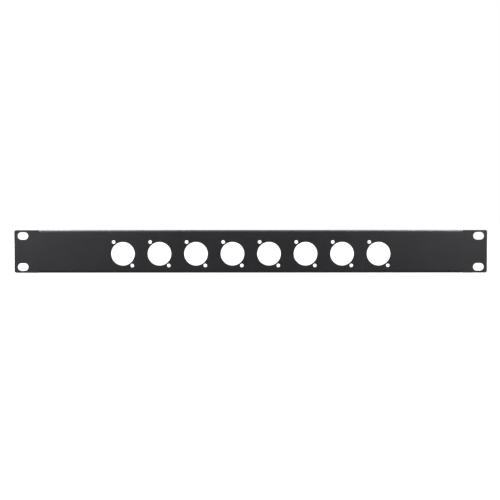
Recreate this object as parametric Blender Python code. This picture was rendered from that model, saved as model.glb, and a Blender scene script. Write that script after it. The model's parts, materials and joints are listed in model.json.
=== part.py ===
"""Unloaded patch bay: a one-unit rack panel, punched flat from one steel sheet and folded into a channel.

A row of round cut-outs takes flanged panel connectors. Four obround slots take the rack screws. The
sheet is folded back along its top and bottom into stiffening lips, which stop short of the ears so
that the ears lie flat on the rack rails. The whole object is one piece of metal.

Frame: metres, +Z up, and the front faces -Y. The origin is the centre of the sheet's rear face, the
plane that seats on the rails.
"""

import math

import bmesh
import bpy
from mathutils import Vector

# Sheet and overall size
PANEL_WIDTH = 0.4826
PANEL_HEIGHT = 0.0436
SHEET_THICKNESS = 0.0015
CORNER_RADIUS = 0.0020

# Folded lips
LIP_DEPTH = 0.0150  # from the front face to a lip's free edge
LIP_INSET = 0.0250  # flat ear from the panel's end to the lip's end
LIP_CORNER_RADIUS = 0.0020
BEND_INSIDE_RADIUS = 0.0010
BEND_STEPS = 8
RELIEF_WIDTH = 0.0003  # kerf that parts a lip's end from the ear
RELIEF_OVERCUT = 0.0004  # how far the kerf runs past the bend line

# Rack slots, placed from the panel's end and its long edge
SLOT_LENGTH = 0.0110
SLOT_HEIGHT = 0.0077
SLOT_FROM_END = 0.00875
SLOT_FROM_EDGE = 0.005925

# Connector cut-outs
CUTOUT_COUNT = 8
CUTOUT_PITCH = 0.0373
CUTOUT_DIAMETER = 0.0240
SCREW_HOLE_DIAMETER = 0.0036
SCREW_LAND = 0.0015  # metal left between a cut-out and its screw hole
SCREW_ANGLE = math.atan2(24, 19)  # the two screw holes lie on the diagonal of a 19 by 24 pattern
ROW_CLEARANCE = 0.0031  # from the lower bend up to the lowest screw hole

# Steps round a full circle
CUTOUT_STEPS = 48
SCREW_HOLE_STEPS = 16
SLOT_STEPS = 24
CORNER_STEPS = 16

WELD_DISTANCE = 1e-6
POWDER_COAT_COLOUR = (0.021, 0.021, 0.023, 1.0)

BEND_OUTSIDE_RADIUS = BEND_INSIDE_RADIUS + SHEET_THICKNESS
BEND_LINE = PANEL_HEIGHT / 2 - BEND_OUTSIDE_RADIUS  # height at which the flat face ends
LIP_HALF_LENGTH = PANEL_WIDTH / 2 - LIP_INSET
LIP_FLAT_DEPTH = LIP_DEPTH - BEND_OUTSIDE_RADIUS
SCREW_REACH = (CUTOUT_DIAMETER + SCREW_HOLE_DIAMETER) / 2 + SCREW_LAND  # between the holes' centres
SCREW_OFFSET = (SCREW_REACH * math.cos(SCREW_ANGLE), SCREW_REACH * math.sin(SCREW_ANGLE))
ROW_HEIGHT = -BEND_LINE + ROW_CLEARANCE + SCREW_HOLE_DIAMETER / 2 + SCREW_OFFSET[1]


def clear_scene():
    """Remove whatever the file holds."""
    for thing in list(bpy.data.objects):
        bpy.data.objects.remove(thing)


def make_powder_coat():
    """The satin black coating of the whole sheet."""
    material = bpy.data.materials.new("black_powder_coat")
    material.use_nodes = True
    shader = material.node_tree.nodes["Principled BSDF"]
    shader.inputs["Base Color"].default_value = POWDER_COAT_COLOUR
    shader.inputs["Roughness"].default_value = 0.45
    shader.inputs["Metallic"].default_value = 0.0
    return material


def arc(centre, radius, start, end, steps_per_turn):
    """Points on an arc from angle start to angle end, both ends included."""
    steps = max(1, round(abs(end - start) / (2 * math.pi) * steps_per_turn))
    angles = [start + (end - start) * step / steps for step in range(steps + 1)]
    return [(centre[0] + radius * math.cos(a), centre[1] + radius * math.sin(a)) for a in angles]


def circle(centre, diameter, steps):
    """Points round a circle, each given once."""
    return arc(centre, diameter / 2, 0, 2 * math.pi, steps)[:-1]


def obround(centre, length, height):
    """A slot's outline: two half circles joined by straight sides."""
    reach = (length - height) / 2
    right = arc((centre[0] + reach, centre[1]), height / 2, -math.pi / 2, math.pi / 2, SLOT_STEPS)
    left = arc((centre[0] - reach, centre[1]), height / 2, math.pi / 2, 3 * math.pi / 2, SLOT_STEPS)
    return right + left


def mirrored(points, across_x, across_z):
    """The same points on another quarter of the panel, in the order they were given."""
    return [(x * (-1 if across_x else 1), z * (-1 if across_z else 1)) for x, z in points]


def face_outline():
    """Outline of the flat face: full height at the ears, and up to the bend lines between them."""
    half_width, half_height = PANEL_WIDTH / 2, PANEL_HEIGHT / 2
    kerf_floor = BEND_LINE - RELIEF_OVERCUT
    corner = (half_width - CORNER_RADIUS, half_height - CORNER_RADIUS)
    quarter = arc(corner, CORNER_RADIUS, 0, math.pi / 2, CORNER_STEPS) + [
        (LIP_HALF_LENGTH + RELIEF_WIDTH, half_height),
        (LIP_HALF_LENGTH + RELIEF_WIDTH, kerf_floor),
        (LIP_HALF_LENGTH, kerf_floor),
        (LIP_HALF_LENGTH, BEND_LINE),
    ]
    return (
        quarter
        + mirrored(quarter, True, False)[::-1]
        + mirrored(quarter, True, True)
        + mirrored(quarter, False, True)[::-1]
    )


def rack_slots():
    """Outlines of the four slots for the rack screws."""
    x = PANEL_WIDTH / 2 - SLOT_FROM_END
    z = PANEL_HEIGHT / 2 - SLOT_FROM_EDGE
    return [obround((sx * x, sz * z), SLOT_LENGTH, SLOT_HEIGHT) for sx in (-1, 1) for sz in (-1, 1)]


def cutout_centres():
    """Centres of the connector cut-outs, from left to right."""
    first = -CUTOUT_PITCH * (CUTOUT_COUNT - 1) / 2
    return [(first + CUTOUT_PITCH * index, ROW_HEIGHT) for index in range(CUTOUT_COUNT)]


def connector_holes():
    """Each round cut-out, with a screw hole up to its left and another down to its right."""
    across, up = SCREW_OFFSET
    holes = []
    for x, z in cutout_centres():
        holes.append(circle((x, z), CUTOUT_DIAMETER, CUTOUT_STEPS))
        holes.append(circle((x - across, z + up), SCREW_HOLE_DIAMETER, SCREW_HOLE_STEPS))
        holes.append(circle((x + across, z - up), SCREW_HOLE_DIAMETER, SCREW_HOLE_STEPS))
    return holes


def punched_face():
    """The flat, punched part of the sheet as a closed mesh, standing up in the row frame."""
    outlines = [face_outline()] + rack_slots() + connector_holes()
    curve = bpy.data.curves.new("face_outlines", "CURVE")
    curve.dimensions = "2D"
    curve.fill_mode = "BOTH"
    curve.extrude = SHEET_THICKNESS / 2
    for outline in outlines:
        spline = curve.splines.new("POLY")
        spline.points.add(len(outline) - 1)
        spline.use_cyclic_u = True
        for point, (x, z) in zip(spline.points, outline):
            point.co = (x, z, 0, 1)
    sheet = bpy.data.objects.new("face_outlines", curve)
    sheet.rotation_euler.x = math.pi / 2
    sheet.location.y = -SHEET_THICKNESS / 2
    bpy.context.scene.collection.objects.link(sheet)
    bpy.context.view_layer.update()
    mesh = bpy.data.meshes.new_from_object(sheet.evaluated_get(bpy.context.evaluated_depsgraph_get()))
    mesh.transform(sheet.matrix_world)
    bpy.data.objects.remove(sheet)
    bpy.data.curves.remove(curve)
    return mesh


def bend_edge_face(bm, side):
    """The sheet's narrow cut face along a bend line; side is 1 for the top and -1 for the bottom."""
    bm.normal_update()
    return next(
        face
        for face in bm.faces
        if side * face.normal.z > 0.99
        and abs(face.calc_center_median().z - side * BEND_LINE) < RELIEF_OVERCUT / 2
        and max(edge.calc_length() for edge in face.edges) > LIP_HALF_LENGTH
    )


def fold_lip(bm, side):
    """Sweep the sheet's edge round the bend and straight back, and round the lip's free corners."""
    root = bend_edge_face(bm, side)
    bend_centre = Vector((0, BEND_OUTSIDE_RADIUS - SHEET_THICKNESS, side * BEND_LINE))
    swept = bmesh.ops.spin(
        bm,
        geom=[root],
        cent=bend_centre,
        axis=(-side, 0, 0),
        angle=math.pi / 2,
        steps=BEND_STEPS,
    )
    bend_end = [part for part in swept["geom_last"] if isinstance(part, bmesh.types.BMFace)]
    pulled = bmesh.ops.extrude_face_region(bm, geom=bend_end)["geom"]
    left_inside = [face for face in [root] + bend_end if face.is_valid]
    bmesh.ops.delete(bm, geom=left_inside, context="FACES_ONLY")
    free_corners = [part for part in pulled if isinstance(part, bmesh.types.BMVert)]
    bmesh.ops.translate(bm, verts=free_corners, vec=(0, LIP_FLAT_DEPTH, 0))
    across_the_sheet = [
        part
        for part in pulled
        if isinstance(part, bmesh.types.BMEdge)
        and abs(part.verts[0].co.x - part.verts[1].co.x) < WELD_DISTANCE
    ]
    bmesh.ops.bevel(
        bm,
        geom=across_the_sheet,
        offset=LIP_CORNER_RADIUS,
        segments=CORNER_STEPS // 4,
        profile=0.5,
        affect="EDGES",
    )


def make_folded_panel(collection, material):
    """The one piece: the punched face with both lips folded back."""
    mesh = punched_face()
    bm = bmesh.new()
    bm.from_mesh(mesh)
    bmesh.ops.remove_doubles(bm, verts=bm.verts, dist=WELD_DISTANCE)
    bmesh.ops.recalc_face_normals(bm, faces=bm.faces)
    for side in (1, -1):
        fold_lip(bm, side)
    bmesh.ops.recalc_face_normals(bm, faces=bm.faces)
    bm.to_mesh(mesh)
    bm.free()
    mesh.name = "folded_panel"
    mesh.materials.clear()
    mesh.materials.append(material)
    mesh.shade_smooth()
    mesh.set_sharp_from_angle(angle=math.radians(40))
    panel = bpy.data.objects.new("folded_panel", mesh)
    collection.objects.link(panel)
    return panel


def main():
    clear_scene()
    collection = bpy.data.collections.new("unloaded_patch_bay")
    bpy.context.scene.collection.children.link(collection)
    make_folded_panel(collection, make_powder_coat())


main()
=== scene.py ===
"""Looks of an unloaded patch bay: a one-unit rack panel of folded, powder-coated steel sheet.

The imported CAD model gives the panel's place, its overall size and where its holes are. This script
makes the same sheet again at a finer grain, the way a sheet-metal shop does: a flat blank with every
hole punched and every edge a little rounded, folded back along its top and bottom. The sheet is then
powder coated, stood on a lit table and shown in soft studio light.

Everything is in metres, +Z is up, and the front of the panel faces -Y.
"""

import json
import logging
import math
from collections.abc import Sequence
from dataclasses import dataclass, field
from enum import Enum

import bmesh
import bpy
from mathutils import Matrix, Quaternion, Vector

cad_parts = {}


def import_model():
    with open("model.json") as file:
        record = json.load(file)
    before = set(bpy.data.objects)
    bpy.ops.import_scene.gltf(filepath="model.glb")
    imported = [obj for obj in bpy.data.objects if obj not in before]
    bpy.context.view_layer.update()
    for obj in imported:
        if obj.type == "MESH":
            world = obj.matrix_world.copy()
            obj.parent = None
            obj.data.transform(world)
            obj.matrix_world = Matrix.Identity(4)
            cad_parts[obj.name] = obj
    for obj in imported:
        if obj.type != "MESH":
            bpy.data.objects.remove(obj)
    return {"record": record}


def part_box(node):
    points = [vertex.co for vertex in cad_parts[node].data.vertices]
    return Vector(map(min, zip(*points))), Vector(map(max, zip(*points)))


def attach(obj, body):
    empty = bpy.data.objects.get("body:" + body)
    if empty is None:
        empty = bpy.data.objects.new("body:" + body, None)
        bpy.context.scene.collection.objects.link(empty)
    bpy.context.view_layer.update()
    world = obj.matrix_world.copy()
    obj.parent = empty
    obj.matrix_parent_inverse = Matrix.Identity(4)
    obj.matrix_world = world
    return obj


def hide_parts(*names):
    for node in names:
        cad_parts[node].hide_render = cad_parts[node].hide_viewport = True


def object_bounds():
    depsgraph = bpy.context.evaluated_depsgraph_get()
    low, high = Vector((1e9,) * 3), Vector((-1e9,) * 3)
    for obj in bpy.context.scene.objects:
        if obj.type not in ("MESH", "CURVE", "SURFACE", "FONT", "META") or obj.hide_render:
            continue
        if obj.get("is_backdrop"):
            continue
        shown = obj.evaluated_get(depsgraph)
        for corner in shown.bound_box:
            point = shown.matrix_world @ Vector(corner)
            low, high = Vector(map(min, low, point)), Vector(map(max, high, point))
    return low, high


LOG = logging.getLogger("patch_bay")
CAD_NODE = "folded_panel"
PIECE_NAME = "powder_coated_panel"
COAT_EDGE = "coat_edge"
MILLIMETRE = 0.001
QUARTER_TURN = math.pi / 2
HALF_TURN = math.pi
FULL_TURN = 2 * math.pi
SHARP_CORNER = math.radians(40)  # faces that meet more steeply than this shade as separate faces
SAME_PLACE = 1e-7  # points nearer a crease than this already lie on it
LARGEST_FACES_ONLY = 100  # on the weighted normals' scale of 1 to 100, only the largest faces count

Colour = tuple[float, float, float, float]
Place = tuple[float, float, float]
Pair = tuple[float, float]
Span = tuple[float, float]
Socket = bpy.types.NodeSocket

WHITE: Colour = (1.0, 1.0, 1.0, 1.0)
NONE_TO_ALL: Span = (0.0, 1.0)
NOISE_SPAN: Span = (0.3, 0.7)  # where nearly all of a noise texture's values lie


# ---------------------------------------------------------------------------------------------------
# Outlines. An outline is a closed ring of points on the flat blank, x across it and y up it. Followed
# round, it has the metal on its left.
# ---------------------------------------------------------------------------------------------------


class Metal(Enum):
    """The side of an outline that its metal is on, which settles the way its arcs turn."""

    INSIDE = 1
    OUTSIDE = -1


def arc(centre: Vector, radius: float, start: float, sweep: float, steps: int) -> list[Vector]:
    """Points on an arc of the blank.

    Args:
        centre: The arc's centre.
        radius: Its radius.
        start: The first point's angle from +X, in radians.
        sweep: The angle that it turns through, positive to the left.
        steps: How many straight steps it has.

    Returns:
        Its points, both ends included.
    """
    angles = [start + sweep * step / steps for step in range(steps + 1)]
    return [centre + radius * Vector((math.cos(angle), math.sin(angle))) for angle in angles]


def moved_into_metal(outline: Sequence[Vector], distance: float) -> list[Vector]:
    """Moves an outline into the metal beside it.

    Args:
        outline: The outline.
        distance: How far each of its sides moves.

    Returns:
        The moved outline, point for point, with its corners mitred.
    """
    moved = []
    for index, here in enumerate(outline):
        arriving = (here - outline[index - 1]).normalized()
        leaving = (outline[(index + 1) % len(outline)] - here).normalized()
        both = arriving + leaving
        towards_metal = Vector((-both.y, both.x)) / (1 + arriving.dot(leaving))
        moved.append(here + towards_metal * distance)
    return moved


@dataclass(frozen=True)
class RoundHole:
    """A round hole.

    Attributes:
        centre: Its middle.
        diameter: Its diameter.
        steps: How many straight steps it has.
    """

    centre: Vector
    diameter: float
    steps: int

    def outline(self) -> list[Vector]:
        """The hole's outline, with each point once."""
        sweep = Metal.OUTSIDE.value * FULL_TURN
        return arc(self.centre, self.diameter / 2, 0.0, sweep, self.steps)[:-1]


@dataclass(frozen=True)
class Obround:
    """A slot with straight sides and half-round ends.

    Attributes:
        centre: Its middle.
        length: Its length across the blank, ends included.
        height: Its height.
        steps_per_end: How many straight steps each end has.
    """

    centre: Vector
    length: float
    height: float
    steps_per_end: int

    def outline(self) -> list[Vector]:
        """Draws the slot's outline.

        Returns:
            The outline, its right end first.
        """
        reach = Vector(((self.length - self.height) / 2, 0.0))
        radius = self.height / 2
        sweep = Metal.OUTSIDE.value * HALF_TURN
        right_end = arc(self.centre + reach, radius, QUARTER_TURN, sweep, self.steps_per_end)
        left_end = arc(self.centre - reach, radius, -QUARTER_TURN, sweep, self.steps_per_end)
        return right_end + left_end


# ---------------------------------------------------------------------------------------------------
# How the sheet is worked
# ---------------------------------------------------------------------------------------------------


@dataclass(frozen=True)
class EdgePoint:
    """One point of the sheet's edge, seen in section.

    Attributes:
        inset: How far it lies inside the nominal outline.
        depth: Its y.
        coat_edge: 1 where the coating turns a corner most sharply, and 0 where it lies flat.
    """

    inset: float
    depth: float
    coat_edge: float


@dataclass(frozen=True)
class PunchedEdge:
    """The section of a punched edge: rolled over in front, where the punch went in, and crisper behind.

    Attributes:
        front_radius: The rounding in front, coating included.
        rear_radius: The rounding behind.
        flat_border: A strip of flat face beside each rounding.
        steps: How many straight steps each rounding has.
    """

    front_radius: float = 0.25 * MILLIMETRE
    rear_radius: float = 0.12 * MILLIMETRE
    flat_border: float = 0.30 * MILLIMETRE
    steps: int = 4

    def section(self, front: float, rear: float) -> list[EdgePoint]:
        """Follows the edge from the sheet's front face, over both roundings, to its rear face.

        Args:
            front: The front face's y.
            rear: The rear face's y.

        Returns:
            The section's points, in order.
        """
        angles = [QUARTER_TURN * step / self.steps for step in range(self.steps + 1)]
        points = [EdgePoint(self.front_radius + self.flat_border, front, 0.0)]
        for angle in angles:
            inset = self.front_radius * (1 - math.sin(angle))
            depth = front + self.front_radius * (1 - math.cos(angle))
            points.append(EdgePoint(inset, depth, math.sin(2 * angle)))
        for angle in angles:
            inset = self.rear_radius * (1 - math.cos(angle))
            depth = rear - self.rear_radius * (1 - math.sin(angle))
            points.append(EdgePoint(inset, depth, math.sin(2 * angle)))
        points.append(EdgePoint(self.rear_radius + self.flat_border, rear, 0.0))
        return points


class Lip(Enum):
    """The two lips, by the side of the panel's middle that each is on."""

    TOP = 1
    BOTTOM = -1


@dataclass(frozen=True)
class Fold:
    """How the sheet is folded back along its top and its bottom.

    Attributes:
        line: The height, from the panel's middle, where the flat face ends and the bend begins.
        inside_radius: The bend's radius on the sheet's rear face, which lies at y = 0.
        thickness: The sheet's thickness.
        steps: How many straight steps the bend has.
    """

    line: float
    inside_radius: float
    thickness: float
    steps: int = 24

    @property
    def allowance(self) -> float:
        """The length of flat sheet that a bend takes up, at mid thickness."""
        return QUARTER_TURN * (self.inside_radius + self.thickness / 2)

    def crease_heights(self) -> list[float]:
        """Heights on the flat blank where its faces are divided, so that the bend comes out round."""
        return [self.line + self.allowance * step / self.steps for step in range(self.steps + 1)]

    def folded(self, point: Vector) -> Vector:
        """Folds one point of the blank.

        Args:
            point: Where it is on the flat blank.

        Returns:
            Where it is on the folded sheet.
        """
        past_line = abs(point.z) - self.line
        if past_line <= 0:
            return point.copy()
        angle = QUARTER_TURN * min(past_line / self.allowance, 1.0)
        along_lip = max(past_line - self.allowance, 0.0)
        radius = self.inside_radius - point.y
        back = self.inside_radius - radius * math.cos(angle) + along_lip
        height = self.line + radius * math.sin(angle)
        return Vector((point.x, back, math.copysign(height, point.z)))


# ---------------------------------------------------------------------------------------------------
# Finish
# ---------------------------------------------------------------------------------------------------


class NodeBoard:
    """A node tree, with short calls for the few kinds of node that the looks are made of."""

    def __init__(self, owner: bpy.types.Material | bpy.types.World) -> None:
        """Takes over a material's or a world's nodes, and empties them.

        Args:
            owner: The material or the world.
        """
        owner.use_nodes = True
        self.tree = owner.node_tree
        self.tree.nodes.clear()

    def add(self, kind: str, **settings: object) -> bpy.types.Node:
        """Adds a node.

        Args:
            kind: Its type name.
            **settings: Its own settings, such as an operation.

        Returns:
            The node.
        """
        node = self.tree.nodes.new(kind)
        for name, value in settings.items():
            setattr(node, name, value)
        return node

    def feed(self, socket: Socket, source: Socket | Colour | float) -> None:
        """Gives an input its value.

        Args:
            socket: The input.
            source: The output to link to it, or a plain number or colour.
        """
        if isinstance(source, Socket):
            self.tree.links.new(source, socket)
        else:
            socket.default_value = source

    def noise(self, place: Socket, lump: float, layers: float = 1.0) -> Socket:
        """Soft random lumps.

        Args:
            place: The coordinates that it reads.
            lump: How wide its lumps are.
            layers: How many finer layers it has on top.

        Returns:
            A value that stays near 0.5.
        """
        node = self.add("ShaderNodeTexNoise")
        self.feed(node.inputs["Vector"], place)
        self.feed(node.inputs["Scale"], 1 / lump)
        self.feed(node.inputs["Detail"], layers)
        return node.outputs["Fac"]

    def specks(self, place: Socket, spacing: float, radius: float) -> Socket:
        """A few small round specks, where random points in space happen to lie near the surface.

        Args:
            place: The coordinates that it reads.
            spacing: How far apart the random points are.
            radius: How wide a speck reaches from its middle.

        Returns:
            1 in the middle of a speck, falling to 0 round it.
        """
        node = self.add("ShaderNodeTexVoronoi")
        self.feed(node.inputs["Vector"], place)
        self.feed(node.inputs["Scale"], 1 / spacing)
        return self.stretch(node.outputs["Distance"], (radius / spacing, 0.0), NONE_TO_ALL)

    def stretch(self, value: Socket, reads: Span, gives: Span) -> Socket:
        """Turns one range of values into another, easing in and out at its ends.

        Args:
            value: The value.
            reads: The range that it is read over.
            gives: What the range's two ends become.

        Returns:
            The new value.
        """
        node = self.add("ShaderNodeMapRange", interpolation_type="SMOOTHSTEP")
        self.feed(node.inputs["Value"], value)
        for name, number in zip(("From Min", "From Max", "To Min", "To Max"), (*reads, *gives)):
            self.feed(node.inputs[name], number)
        return node.outputs["Result"]

    def sum_of(self, first: Socket | float, second: Socket | float) -> Socket:
        """Adds two values.

        Args:
            first: The first value.
            second: The second value.

        Returns:
            Their sum.
        """
        node = self.add("ShaderNodeMath", operation="ADD")
        self.feed(node.inputs[0], first)
        self.feed(node.inputs[1], second)
        return node.outputs["Value"]

    def blend(self, share: Socket, first: Socket | Colour, second: Socket | Colour) -> Socket:
        """Blends two colours.

        Args:
            share: How much of the second colour shows.
            first: The first colour.
            second: The second colour.

        Returns:
            The blended colour.
        """
        node = self.add("ShaderNodeMix", data_type="RGBA")
        colours = [socket for socket in node.inputs if socket.type == "RGBA"]
        self.feed(node.inputs["Factor"], share)
        self.feed(colours[0], first)
        self.feed(colours[1], second)
        return next(socket for socket in node.outputs if socket.type == "RGBA")

    def bump(self, height: Socket, relief: float, under: Socket | None = None) -> Socket:
        """Raises the surface with a height texture.

        Args:
            height: The texture, from 0 to 1.
            relief: How high 1 stands.
            under: The bumps that it lies on, if any.

        Returns:
            The surface's normal.
        """
        node = self.add("ShaderNodeBump")
        self.feed(node.inputs["Distance"], relief)
        self.feed(node.inputs["Height"], height)
        if under is not None:
            self.feed(node.inputs["Normal"], under)
        return node.outputs["Normal"]


@dataclass(frozen=True)
class PowderCoat:
    """Satin black powder coat, sprayed on as dust and baked until it flows together.

    Attributes:
        thin: Its colour where it lies thinnest.
        thick: Its colour where it lies thickest.
        edge: Its colour over a sharp edge, where it draws back from the metal as it flows.
        roughness: Its roughness where it lies thickest and where it lies thinnest.
        cloud: The width of the patches in which the sprayed layer varies.
        cloud_layers: How many finer layers the patches have.
        peel: The width of the ripples of a baked powder, its orange peel.
        peel_relief: Their height.
        grain: The width of its finest texture, of single grains.
        grain_layers: How many finer layers the grains have.
        grain_relief: Their height.
        grain_share: How far the grains move the coat's thickness, either way.
        nib_spacing: The spacing that sets how rare the specks of dust under the coat are.
        nib_radius: How wide one is.
        nib_relief: How high one stands.
    """

    thin: Colour = (0.0180, 0.0178, 0.0224, 1.0)
    thick: Colour = (0.0152, 0.0150, 0.0192, 1.0)
    edge: Colour = (0.0300, 0.0300, 0.0315, 1.0)
    roughness: Span = (0.435, 0.450)
    cloud: float = 28.0 * MILLIMETRE
    cloud_layers: float = 3.0
    peel: float = 2.4 * MILLIMETRE
    peel_relief: float = 0.036 * MILLIMETRE
    grain: float = 0.50 * MILLIMETRE
    grain_layers: float = 2.0
    grain_relief: float = 0.045 * MILLIMETRE
    grain_share: float = 0.06
    nib_spacing: float = 11.0 * MILLIMETRE
    nib_radius: float = 0.30 * MILLIMETRE
    nib_relief: float = 0.040 * MILLIMETRE

    def material(self) -> bpy.types.Material:
        """Makes the coat's material.

        Returns:
            The material, with colour, roughness and relief from its own textures.
        """
        material = bpy.data.materials.new("satin_black_powder_coat")
        board = NodeBoard(material)
        place = board.add("ShaderNodeTexCoord").outputs["Object"]
        shader = board.add("ShaderNodeBsdfPrincipled")
        output = board.add("ShaderNodeOutputMaterial")
        thickness = self._thickness(board, place)
        board.feed(shader.inputs["Base Color"], self._colour(board, thickness))
        board.feed(shader.inputs["Roughness"], board.stretch(thickness, NOISE_SPAN, self.roughness[::-1]))
        board.feed(shader.inputs["Normal"], self._relief(board, place))
        board.feed(output.inputs["Surface"], shader.outputs["BSDF"])
        return material

    def _thickness(self, board: NodeBoard, place: Socket) -> Socket:
        """How thick the coat lies, as broad clouds with a little of the grain in them.

        Args:
            board: The material's nodes.
            place: The coordinates to read.

        Returns:
            A value that stays near 0.5, higher where the coat is thicker.
        """
        clouds = board.noise(place, self.cloud, self.cloud_layers)
        either_way = (-self.grain_share, self.grain_share)
        grains = board.stretch(board.noise(place, self.grain), NOISE_SPAN, either_way)
        return board.sum_of(clouds, grains)

    def _colour(self, board: NodeBoard, thickness: Socket) -> Socket:
        """The coat's colour, from its thickness and from where it turns the sheet's edges.

        Args:
            board: The material's nodes.
            thickness: How thick the coat lies.

        Returns:
            The colour.
        """
        turning = board.add("ShaderNodeAttribute", attribute_name=COAT_EDGE).outputs["Fac"]
        thick_share = board.stretch(thickness, NOISE_SPAN, NONE_TO_ALL)
        return board.blend(turning, board.blend(thick_share, self.thin, self.thick), self.edge)

    def _relief(self, board: NodeBoard, place: Socket) -> Socket:
        """The coat's relief: nibs of dust under ripples, and fine grain over both.

        Args:
            board: The material's nodes.
            place: The coordinates to read.

        Returns:
            The surface's normal.
        """
        nibs = board.bump(board.specks(place, self.nib_spacing, self.nib_radius), self.nib_relief)
        ripples = board.bump(board.noise(place, self.peel), self.peel_relief, nibs)
        return board.bump(board.noise(place, self.grain, self.grain_layers), self.grain_relief, ripples)


# ---------------------------------------------------------------------------------------------------
# The panel
# ---------------------------------------------------------------------------------------------------


@dataclass(frozen=True)
class ConnectorPlace:
    """One place for a flanged panel connector: a round cut-out, and two screw holes on a diagonal.

    Attributes:
        centre: The cut-out's middle.
        cutout_diameter: The cut-out's diameter.
        cutout_steps: How many straight steps the cut-out has.
        screw_hole_diameter: A screw hole's diameter.
        screw_hole_steps: How many straight steps a screw hole has.
        screws_across: How far apart the two screw holes are across the panel.
        screws_up: How far apart they are up it.
    """

    centre: Vector
    cutout_diameter: float = 24.0 * MILLIMETRE
    cutout_steps: int = 128
    screw_hole_diameter: float = 3.6 * MILLIMETRE
    screw_hole_steps: int = 40
    screws_across: float = 19.0 * MILLIMETRE
    screws_up: float = 24.0 * MILLIMETRE

    def holes(self) -> list[RoundHole]:
        """Places the holes.

        Returns:
            The cut-out, and the screw holes up to its left and down to its right.
        """
        to_lower_right = Vector((self.screws_across / 2, -self.screws_up / 2))
        screw_centres = (self.centre - to_lower_right, self.centre + to_lower_right)
        cutout = RoundHole(self.centre, self.cutout_diameter, self.cutout_steps)
        return [cutout] + [
            RoundHole(centre, self.screw_hole_diameter, self.screw_hole_steps)
            for centre in screw_centres
        ]


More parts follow.
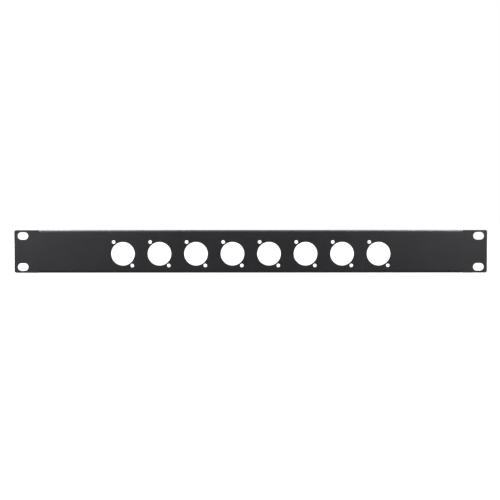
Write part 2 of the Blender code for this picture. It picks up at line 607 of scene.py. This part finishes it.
@dataclass
class FoldedPanel:
    """The whole object: one steel sheet, punched, folded and coated.

    Attributes:
        half_width: Half the panel's width.
        half_height: Half its height.
        front: The front face's y. The rear face is at y = 0.
        lip_rear: The y of the lips' free edges.
        connector_centres: The middles of the connectors' places.
        slot_centres: The middles of the rack slots.
        lip_inset: The length of flat ear from the panel's end to a lip's end.
        lip_corner_radius: The rounding of a lip's free corners.
        inside_bend_radius: The bends' radius on the rear face.
        relief_width: What the coat leaves open of the cut that parts a lip's end from the ear.
        relief_overcut: How far that cut runs past the bend line.
        corner_radius: The rounding of the panel's four corners.
        corner_steps: How many straight steps each rounded corner has.
        slot_length: A rack slot's length.
        slot_height: Its height.
        slot_steps_per_end: How many straight steps each of its round ends has.
        edge: The section of every edge and hole.
        coat: The finish.
    """

    half_width: float
    half_height: float
    front: float
    lip_rear: float
    connector_centres: list[Vector]
    slot_centres: list[Vector]
    lip_inset: float = 25.0 * MILLIMETRE
    lip_corner_radius: float = 2.0 * MILLIMETRE
    inside_bend_radius: float = 1.0 * MILLIMETRE
    relief_width: float = 0.05 * MILLIMETRE
    relief_overcut: float = 0.4 * MILLIMETRE
    corner_radius: float = 2.0 * MILLIMETRE
    corner_steps: int = 12
    slot_length: float = 11.0 * MILLIMETRE
    slot_height: float = 7.7 * MILLIMETRE
    slot_steps_per_end: int = 40
    edge: PunchedEdge = field(default_factory=PunchedEdge)
    coat: PowderCoat = field(default_factory=PowderCoat)

    @classmethod
    def from_frame(cls, record: dict) -> "FoldedPanel":
        """Reads the panel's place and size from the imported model.

        Args:
            record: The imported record.

        Returns:
            The panel, not built yet.
        """
        low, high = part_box(CAD_NODE)
        places: dict[str, list[Vector]] = {"connector_cutout": [], "rack_slot": []}
        for opening in record["physics"]["openings"]:
            (x_low, _, z_low), (x_high, _, z_high) = opening["box_m"]
            for kind, centres in places.items():
                if kind in opening["name"]:
                    centres.append(Vector(((x_low + x_high) / 2, (z_low + z_high) / 2)))
        return cls(
            half_width=high.x,
            half_height=high.z,
            front=low.y,
            lip_rear=high.y,
            connector_centres=places["connector_cutout"],
            slot_centres=places["rack_slot"],
        )

    @property
    def fold(self) -> Fold:
        """How this sheet's lips are folded.

        Returns:
            The fold, whose bends reach up and down to the panel's full height.
        """
        thickness = -self.front
        line = self.half_height - thickness - self.inside_bend_radius
        return Fold(line, self.inside_bend_radius, thickness)

    @property
    def lip_half_length(self) -> float:
        """The lips' ends, as a distance from the panel's middle."""
        return self.half_width - self.lip_inset

    def blank_outline(self) -> list[Vector]:
        """The blank's outline, with its lips still flat above and below the face.

        Returns:
            The outline, anticlockwise, with its upper right quarter first.
        """
        fold = self.fold
        lip_top = fold.line + fold.allowance + self.lip_rear - self.inside_bend_radius
        relief_floor = fold.line - self.relief_overcut
        relief_outer = self.lip_half_length + self.relief_width
        ear_corner = Vector((self.half_width, self.half_height)) - Vector((1, 1)) * self.corner_radius
        lip_corner = Vector((self.lip_half_length, lip_top)) - Vector((1, 1)) * self.lip_corner_radius
        sweep = Metal.INSIDE.value * QUARTER_TURN
        quarter = [
            *arc(ear_corner, self.corner_radius, 0.0, sweep, self.corner_steps),
            Vector((relief_outer, self.half_height)),
            Vector((relief_outer, relief_floor)),
            Vector((self.lip_half_length, relief_floor)),
            *arc(lip_corner, self.lip_corner_radius, 0.0, sweep, self.corner_steps),
        ]
        upper_left = [Vector((-point.x, point.y)) for point in reversed(quarter)]
        lower_half = [-point for point in quarter + upper_left]
        return quarter + upper_left + lower_half

    def outlines(self) -> list[list[Vector]]:
        """Draws the whole punched blank.

        Returns:
            The outlines of the blank and of every hole in it, the blank's own first.
        """
        slots = [
            Obround(centre, self.slot_length, self.slot_height, self.slot_steps_per_end)
            for centre in self.slot_centres
        ]
        round_holes = [hole for centre in self.connector_centres for hole in ConnectorPlace(centre).holes()]
        return [self.blank_outline()] + [hole.outline() for hole in (*slots, *round_holes)]

    def _raise_edge(self, sheet: bmesh.types.BMesh, outline: list[Vector]) -> list[list[bmesh.types.BMEdge]]:
        """Builds the sheet's edge along one outline.

        Args:
            sheet: The mesh to build in.
            outline: The outline.

        Returns:
            The edge's border on the front face, and its border on the rear face.
        """
        coat_edge = sheet.verts.layers.float[COAT_EDGE]
        rings = []
        for point in self.edge.section(self.front, 0.0):
            places = moved_into_metal(outline, point.inset)
            ring = [sheet.verts.new((place.x, point.depth, place.y)) for place in places]
            for vertex in ring:
                vertex[coat_edge] = point.coat_edge
            rings.append(ring)
        for nearer, farther in zip(rings, rings[1:]):
            for index in range(len(outline)):
                sheet.faces.new((nearer[index - 1], nearer[index], farther[index], farther[index - 1]))
        return [
            [sheet.edges.get((ring[index - 1], ring[index])) for index in range(len(ring))]
            for ring in (rings[0], rings[-1])
        ]

    def _flat_blank(self) -> bmesh.types.BMesh:
        """Makes the punched sheet before it is folded.

        Returns:
            A closed mesh, with both of its flat faces filled between the outlines.
        """
        sheet = bmesh.new()
        sheet.verts.layers.float.new(COAT_EDGE)
        borders = [self._raise_edge(sheet, outline) for outline in self.outlines()]
        for side, facing in ((0, -1.0), (1, 1.0)):
            rim = [edge for border in borders for edge in border[side]]
            bmesh.ops.triangle_fill(sheet, edges=rim, use_beauty=True, normal=(0.0, facing, 0.0))
        bmesh.ops.recalc_face_normals(sheet, faces=sheet.faces)
        return sheet

    def _lip(self, sheet: bmesh.types.BMesh, line: float) -> list[bmesh.types.BMVert]:
        """Finds the flat blank's vertices that lie past a bend line, leaving the ears out.

        Args:
            sheet: The flat blank.
            line: The bend line's height.

        Returns:
            The vertices.
        """
        reach = self.lip_half_length + self.relief_width / 2
        return [vertex for vertex in sheet.verts if abs(vertex.co.z) > line and abs(vertex.co.x) < reach]

    def _fold_lips(self, sheet: bmesh.types.BMesh) -> None:
        """Folds both lips back.

        Args:
            sheet: The flat blank, which is changed.
        """
        fold = self.fold
        for height in fold.crease_heights():
            for lip in Lip:
                faces = {face for vertex in self._lip(sheet, fold.line) for face in vertex.link_faces}
                edges = {edge for face in faces for edge in face.edges}
                vertices = {vertex for face in faces for vertex in face.verts}
                bmesh.ops.bisect_plane(
                    sheet,
                    geom=[*vertices, *edges, *faces],
                    plane_co=(0.0, 0.0, lip.value * height),
                    plane_no=(0.0, 0.0, 1.0),
                    dist=SAME_PLACE,
                )
        for vertex in self._lip(sheet, fold.line):
            vertex.co = fold.folded(vertex.co)

    def build(self) -> bpy.types.Object:
        """Makes the panel, in its place in the frame.

        Returns:
            The panel's object.
        """
        sheet = self._flat_blank()
        self._fold_lips(sheet)
        mesh = bpy.data.meshes.new(PIECE_NAME)
        sheet.to_mesh(mesh)
        sheet.free()
        mesh.shade_smooth()
        mesh.set_sharp_from_angle(angle=SHARP_CORNER)
        panel = bpy.data.objects.new(PIECE_NAME, mesh)
        bpy.context.scene.collection.objects.link(panel)
        shading = panel.modifiers.new("flat_faces_shade_flat", "WEIGHTED_NORMAL")
        shading.keep_sharp = True
        shading.weight = LARGEST_FACES_ONLY
        return panel

    def dress(self, panel: bpy.types.Object) -> None:
        """Coats the panel, and puts it in the CAD node's stead.

        Args:
            panel: The built panel.
        """
        panel.data.materials.append(self.coat.material())
        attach(panel, "root")
        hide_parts(CAD_NODE)


# ---------------------------------------------------------------------------------------------------
# The studio
# ---------------------------------------------------------------------------------------------------


def heading(bearing: float, elevation: float) -> Vector:
    """A direction from the panel.

    Args:
        bearing: Its angle from straight ahead, in degrees, positive to the panel's right.
        elevation: Its angle above the horizon, in degrees.

    Returns:
        The direction, of unit length.
    """
    turn, rise = math.radians(bearing), math.radians(elevation)
    return Vector((math.sin(turn) * math.cos(rise), -math.cos(turn) * math.cos(rise), math.sin(rise)))


@dataclass(frozen=True)
class Softbox:
    """A flat, evenly lit rectangle.

    Attributes:
        name: What it is called.
        centre: Its middle.
        aims_at: The point that it faces.
        size: Its width and its height.
        brightness: How bright it looks, where 1 is white.
    """

    name: str
    centre: Vector
    aims_at: Vector
    size: Pair
    brightness: float

    def build(self) -> bpy.types.Object:
        """Makes the light.

        Returns:
            The light's object.
        """
        width, height = self.size
        light = bpy.data.lights.new(self.name, "AREA")
        light.shape = "RECTANGLE"
        light.size = width
        light.size_y = height
        light.energy = self.brightness * math.pi * width * height
        lamp = bpy.data.objects.new(self.name, light)
        lamp.location = self.centre
        lamp.rotation_euler = (self.aims_at - self.centre).to_track_quat("-Z", "Y").to_euler()
        bpy.context.scene.collection.objects.link(lamp)
        return lamp


class Side(Enum):
    """The panel's two sides, as seen from in front."""

    LEFT = -1
    RIGHT = 1


@dataclass(frozen=True)
class Lamps:
    """The studio's lamps. What stands on the right stands on the left as well, mirrored.

    Attributes:
        reach: How far the large softboxes stand from the panel.
        front: The bearing and the elevation of the tall softbox in front, in degrees.
        front_size: Its width and its height.
        front_brightness: How bright it looks, where 1 is white.
        rear: The bearing and the elevation of the softbox behind, in degrees.
        rear_size: Its width and its height.
        rear_brightness: How bright it looks.
        near: Where the small lamp over the panel's end stands, from the middle of the panel's front.
        near_aim: What the small lamp faces, from there.
        near_size: Its width and its height.
        near_brightness: How bright it looks.
        strip: Where the one strip over the top bend stands, from the middle of the panel's front.
        strip_size: Its width and its height.
        strip_brightness: How bright it looks.
    """

    reach: float = 1.4
    front: Pair = (30.0, 15.0)
    front_size: Pair = (0.45, 1.1)
    front_brightness: float = 3.05
    rear: Pair = (125.0, 51.0)
    rear_size: Pair = (0.8, 0.8)
    rear_brightness: float = 23.0
    near: Place = (0.30, -0.08, 0.12)
    near_aim: Place = (0.15, 0.0, 0.0)
    near_size: Pair = (0.15, 0.05)
    near_brightness: float = 7.5
    strip: Place = (0.0, -0.03, 0.06)
    strip_size: Pair = (0.6, 0.02)
    strip_brightness: float = 1.6

    def softboxes(self, subject: Vector) -> list[Softbox]:
        """Places every lamp.

        Args:
            subject: The middle of the panel's front face.

        Returns:
            The strip, and then the three lamps of each side.
        """
        strip = subject + Vector(self.strip)
        lamps = [Softbox("near_strip", strip, subject, self.strip_size, self.strip_brightness)]
        for side in Side:
            lamps += self._one_side(subject, side)
        return lamps

    def _one_side(self, subject: Vector, side: Side) -> list[Softbox]:
        """Places the lamps of one side.

        Args:
            subject: The middle of the panel's front face.
            side: The side.

        Returns:
            Its tall softbox in front, its softbox behind and its small near lamp.
        """
        name = side.name.lower()
        mirror = Vector((side.value, 1.0, 1.0))
        front = subject + heading(side.value * self.front[0], self.front[1]) * self.reach
        rear = subject + heading(side.value * self.rear[0], self.rear[1]) * self.reach
        near = subject + Vector(self.near) * mirror
        near_aim = subject + Vector(self.near_aim) * mirror
        return [
            Softbox(f"{name}_front_softbox", front, subject, self.front_size, self.front_brightness),
            Softbox(f"{name}_rear_softbox", rear, subject, self.rear_size, self.rear_brightness),
            Softbox(f"{name}_near_light", near, near_aim, self.near_size, self.near_brightness),
        ]


@dataclass(frozen=True)
class Surround:
    """The light that comes from all round: white paper behind, and a dim room in front.

    Attributes:
        behind: How bright it is behind the panel.
        in_front: How bright it is in front.
        above: How bright it is overhead.
        below: How bright it is underfoot.
        front_to_back: How far to the rear a direction points where the front's light gives way to the
            rear's, from -1 to 1.
        level_to_above: How far up it points where the light from overhead takes over.
        level_to_below: How far up it points where the light from underfoot takes over.
    """

    behind: float = 1.0
    in_front: float = 0.01
    above: float = 0.05
    below: float = 0.33
    front_to_back: Span = (-0.3, 0.3)
    level_to_above: Span = (0.2, 0.9)
    level_to_below: Span = (-0.05, -0.4)

    def build(self) -> bpy.types.World:
        """Makes the world, which the camera itself sees as plain white.

        Returns:
            The world.
        """
        world = bpy.data.worlds.new("white_studio")
        board = NodeBoard(world)
        direction = board.add("ShaderNodeSeparateXYZ")
        board.feed(direction.inputs["Vector"], board.add("ShaderNodeTexCoord").outputs["Generated"])
        level = self._brightness(board, direction.outputs["Y"], direction.outputs["Z"])
        glow = board.add("ShaderNodeBackground")
        board.feed(glow.inputs["Color"], WHITE)
        board.feed(glow.inputs["Strength"], level)
        paper = board.add("ShaderNodeBackground")
        board.feed(paper.inputs["Color"], WHITE)
        seen = board.add("ShaderNodeMixShader")
        board.feed(seen.inputs["Fac"], board.add("ShaderNodeLightPath").outputs["Is Camera Ray"])
        board.feed(seen.inputs[1], glow.outputs["Background"])
        board.feed(seen.inputs[2], paper.outputs["Background"])
        output = board.add("ShaderNodeOutputWorld")
        board.feed(output.inputs["Surface"], seen.outputs["Shader"])
        return world

    def _brightness(self, board: NodeBoard, back: Socket, up: Socket) -> Socket:
        """How bright the studio is in each direction.

        Args:
            board: The world's nodes.
            back: How far the direction points to the rear, from -1 to 1.
            up: How far it points up, from -1 to 1.

        Returns:
            The brightness.
        """
        level = board.stretch(back, self.front_to_back, (self.in_front, self.behind))
        for span, there in ((self.level_to_above, self.above), (self.level_to_below, self.below)):
            mix = board.add("ShaderNodeMix", data_type="FLOAT")
            board.feed(mix.inputs["Factor"], board.stretch(up, span, NONE_TO_ALL))
            board.feed(mix.inputs["A"], level)
            board.feed(mix.inputs["B"], there)
            level = mix.outputs["Result"]
        return level


@dataclass(frozen=True)
class LitTable:
    """A white acrylic table top, lit from inside, so that only a faint soft shadow shows on it.

    Attributes:
        height: The z of its top.
        width: How far it reaches across and back.
        glow: How bright it is by its own light, in the middle and far away.
        glow_reach: How far from the middle it has its full glow.
        paleness: How much of the light that falls on it comes back.
    """

    height: float
    width: float = 8.0
    glow: Span = (0.80, 1.0)
    glow_reach: float = 1.2
    paleness: float = 0.16

    def build(self) -> bpy.types.Object:
        """Makes the table top, which lights nothing but itself.

        Returns:
            The table top's object.
        """
        mesh = bpy.data.meshes.new("table_top")
        top = bmesh.new()
        bmesh.ops.create_grid(top, x_segments=1, y_segments=1, size=self.width / 2)
        top.to_mesh(mesh)
        top.free()
        table = bpy.data.objects.new("table_top", mesh)
        table.location.z = self.height
        bpy.context.scene.collection.objects.link(table)
        table.visible_diffuse = False
        table.visible_glossy = False
        mesh.materials.append(self._acrylic())
        table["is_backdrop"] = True
        return table

    def _acrylic(self) -> bpy.types.Material:
        """Makes the table top's white acrylic.

        Returns:
            The material.
        """
        material = bpy.data.materials.new("lit_acrylic")
        board = NodeBoard(material)
        place = board.add("ShaderNodeTexCoord").outputs["Object"]
        distance = board.add("ShaderNodeVectorMath", operation="LENGTH")
        board.feed(distance.inputs["Vector"], place)
        glow = board.stretch(distance.outputs["Value"], (0.0, self.glow_reach), self.glow)
        shader = board.add("ShaderNodeBsdfPrincipled")
        board.feed(shader.inputs["Base Color"], (self.paleness, self.paleness, self.paleness, 1.0))
        board.feed(shader.inputs["Roughness"], 1.0)
        board.feed(shader.inputs["Specular IOR Level"], 0.0)
        board.feed(shader.inputs["Emission Color"], WHITE)
        board.feed(shader.inputs["Emission Strength"], glow)
        output = board.add("ShaderNodeOutputMaterial")
        board.feed(output.inputs["Surface"], shader.outputs["BSDF"])
        return material


@dataclass(frozen=True)
class Viewpoint:
    """Where the camera stands.

    Attributes:
        distance: How far it is from the panel's front.
        elevation: How far above the panel it looks from, in degrees.
        roll: How far it is turned clockwise, in degrees.
        picture_width: How wide the picture is, at the panel.
        panel_offset: How far right of, and above, the picture's middle the panel's middle is.
    """

    distance: float = 1.1
    elevation: float = 2.0
    roll: float = 0.03
    picture_width: float = 510.4 * MILLIMETRE
    panel_offset: Pair = (0.77 * MILLIMETRE, -1.40 * MILLIMETRE)

    def build(self, subject: Vector) -> bpy.types.Object:
        """Makes the camera, and looks through it.

        Args:
            subject: The middle of the panel's front face.

        Returns:
            The camera's object.
        """
        towards_camera = heading(0.0, self.elevation)
        rightwards = Vector((1.0, 0.0, 0.0))
        upwards = towards_camera.cross(rightwards)
        across, up = self.panel_offset
        lens = bpy.data.cameras.new("studio_camera")
        lens.lens = lens.sensor_width * self.distance / self.picture_width
        camera = bpy.data.objects.new("studio_camera", lens)
        aims_at = subject - rightwards * across - upwards * up
        camera.location = aims_at + towards_camera * self.distance
        level = (-towards_camera).to_track_quat("-Z", "Y")
        camera.rotation_euler = (Quaternion(towards_camera, math.radians(-self.roll)) @ level).to_euler()
        bpy.context.scene.collection.objects.link(camera)
        bpy.context.scene.camera = camera
        return camera


@dataclass
class Studio:
    """Everything round the panel: the table, the lights, the white surround and the camera.

    Attributes:
        low: The panel's lowest corner.
        high: The panel's highest corner.
    """

    low: Vector
    high: Vector

    @property
    def subject(self) -> Vector:
        """The middle of the panel's front face."""
        middle = (self.low + self.high) / 2
        return Vector((middle.x, self.low.y, middle.z))

    def build(self) -> None:
        """Sets the studio up."""
        for softbox in Lamps().softboxes(self.subject):
            softbox.build()
        LitTable(self.low.z).build()
        bpy.context.scene.world = Surround().build()
        Viewpoint().build(self.subject)
        bpy.context.scene.view_settings.view_transform = "Standard"


# ---------------------------------------------------------------------------------------------------


def main() -> None:
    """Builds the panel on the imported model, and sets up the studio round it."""
    logging.basicConfig(level=logging.INFO, format="%(name)s: %(message)s")
    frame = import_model()
    cad_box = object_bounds()
    panel = FoldedPanel.from_frame(frame["record"])
    piece = panel.build()
    panel.dress(piece)
    LOG.info("%s: %d faces", piece.name, len(piece.data.polygons))
    Studio(*cad_box).build()
    LOG.info("studio: set up")


if __name__ == "__main__":
    main()
